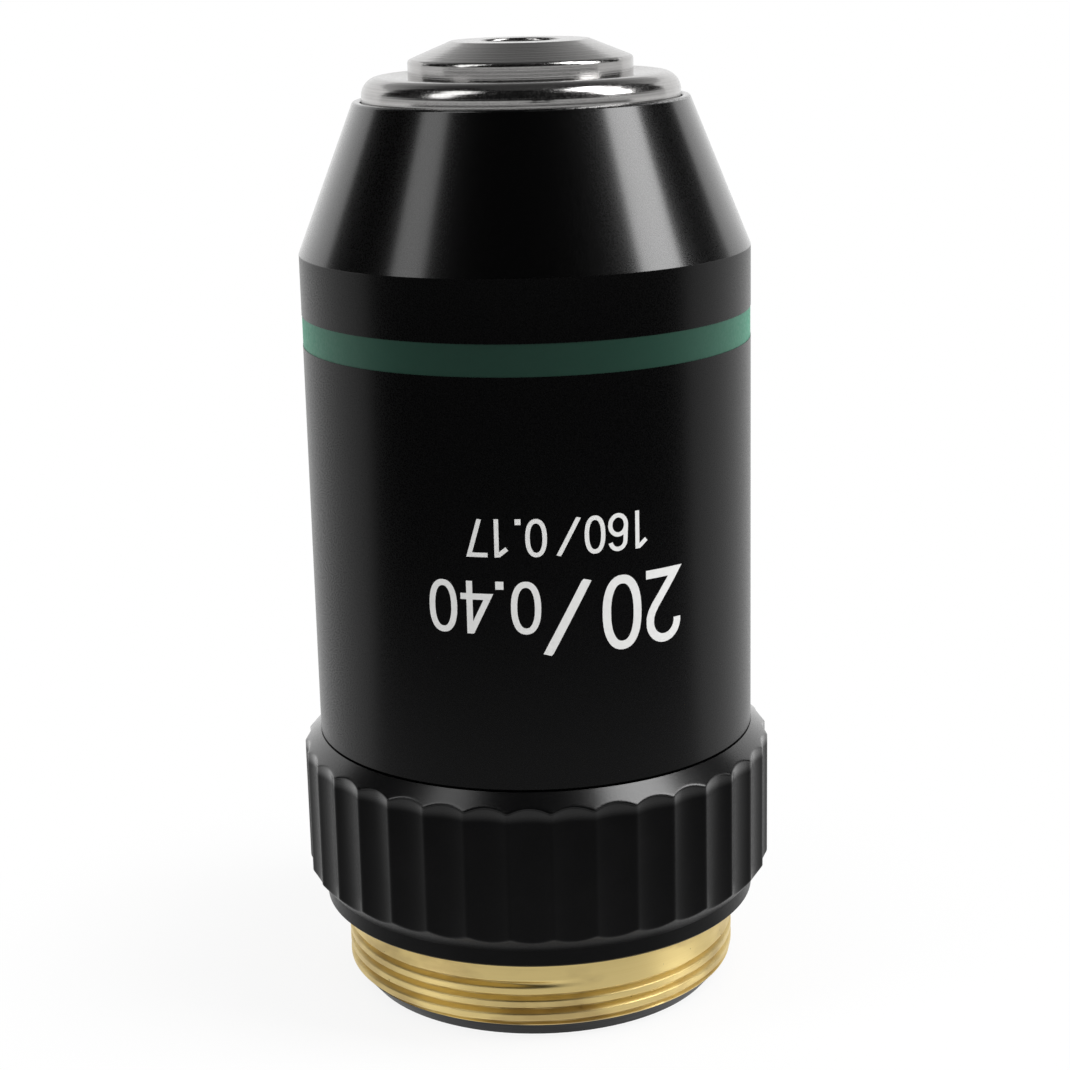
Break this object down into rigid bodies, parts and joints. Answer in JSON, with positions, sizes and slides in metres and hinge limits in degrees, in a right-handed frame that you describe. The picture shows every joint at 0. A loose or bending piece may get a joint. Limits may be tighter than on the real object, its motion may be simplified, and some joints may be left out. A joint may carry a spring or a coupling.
{
  "type": "microscope objective",
  "caption": "Spring-loaded microscope objective: black fluted barrel with a green band, bright retracting nose and a brass mounting thread.",
  "frame": {"origin": "on the optical axis, in the plane of the seating shoulder, at the top of the mounting thread", "axes": "+Z along the optical axis from the thread towards the nose; the engraved numbers face -Y"},
  "size_m": [0.0242, 0.0242, 0.0482],
  "materials": {
    "bare_brass": "turned, lightly tarnished",
    "plain_brass": "rolled",
    "black_anodised": "matte black",
    "blackened_brass": "chemically blackened",
    "grip_black": "satin black",
    "sleeve_black": "satin black lacquer",
    "green_enamel": "dull green enamel",
    "white_enamel": "engraving filled with white",
    "bright_plating": "satin plated",
    "spring_steel": "drawn wire",
    "front_glass": "coated",
    "crown_glass": "coated",
    "flint_glass": "coated"
  },
  "bodies": {
    "housing": {"thread_mount": "bare_brass", "rear_baffle": "black_anodised", "grip_ring": "grip_black", "outer_sleeve": "sleeve_black", "colour_band": "green_enamel", "parfocal_shim": "plain_brass", "spring_retainer": "black_anodised", "spring": "spring_steel"},
    "lens_group": {"lens_barrel": "blackened_brass", "guide_pin": "spring_steel", "nose_cap": "bright_plating", "front_cell": "blackened_brass", "front_lens": "front_glass", "front_spacer": "black_anodised", "middle_cell": "blackened_brass", "middle_flint_lens": "flint_glass", "middle_crown_lens": "crown_glass", "rear_spacer": "black_anodised", "rear_cell": "blackened_brass", "rear_flint_lens": "flint_glass", "rear_crown_lens": "crown_glass", "aperture_stop": "black_anodised", "lens_retainer": "black_anodised"}
  },
  "joints": [
    {"name": "nose_retract", "type": "slide", "parent": "housing", "child": "lens_group", "axis": [0, 0, -1], "range_m": [0, 0.002], "stiffness_N_per_m": 1000, "springref_m": -0.002, "deforming": ["spring"]}
  ]
}
